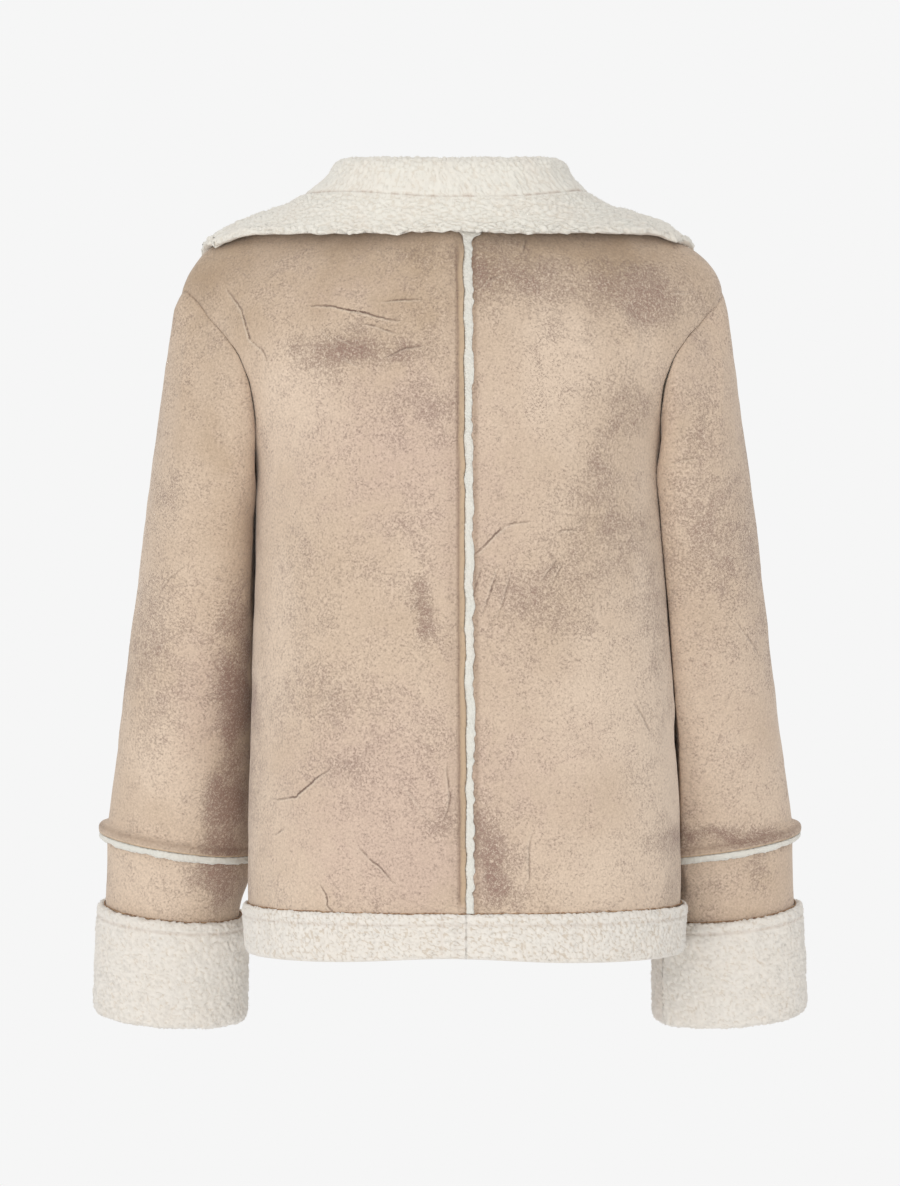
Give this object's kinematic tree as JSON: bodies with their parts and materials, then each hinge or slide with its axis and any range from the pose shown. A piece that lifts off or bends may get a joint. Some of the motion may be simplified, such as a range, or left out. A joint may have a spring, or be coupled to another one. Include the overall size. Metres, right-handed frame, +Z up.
{
  "type": "faux shearling bomber jacket",
  "caption": "Hip-length faux shearling bomber jacket with a wide turned-down pile collar, lapped sleeve seams, turned-back pile cuffs and a pile hem.",
  "frame": {"origin": "middle of the base of the neck, where the wearer holds the jacket up", "axes": "+Z up, -Y towards the jacket's front, +X towards the wearer's left"},
  "size_m": [0.623, 0.2948, 0.7459],
  "materials": {
    "suede": "napped faux suede, worn and cracked in patches",
    "pile": "curly cream sherpa pile"
  },
  "bodies": {
    "root": {"back_left": "suede", "back_right": "suede", "front_left": "suede", "front_right": "suede", "sleeve_left": "suede", "sleeve_right": "suede", "sleeve_band_left": "suede", "sleeve_band_right": "suede", "lap_pile_left": "pile", "lap_pile_right": "pile", "cuff_left": "pile", "cuff_right": "pile", "hem_back_left": "pile", "hem_back_right": "pile", "hem_front_left": "pile", "hem_front_right": "pile", "back_seam_pile": "pile", "collar_stand": "pile", "collar_fall": "pile"}
  },
  "joints": []
}
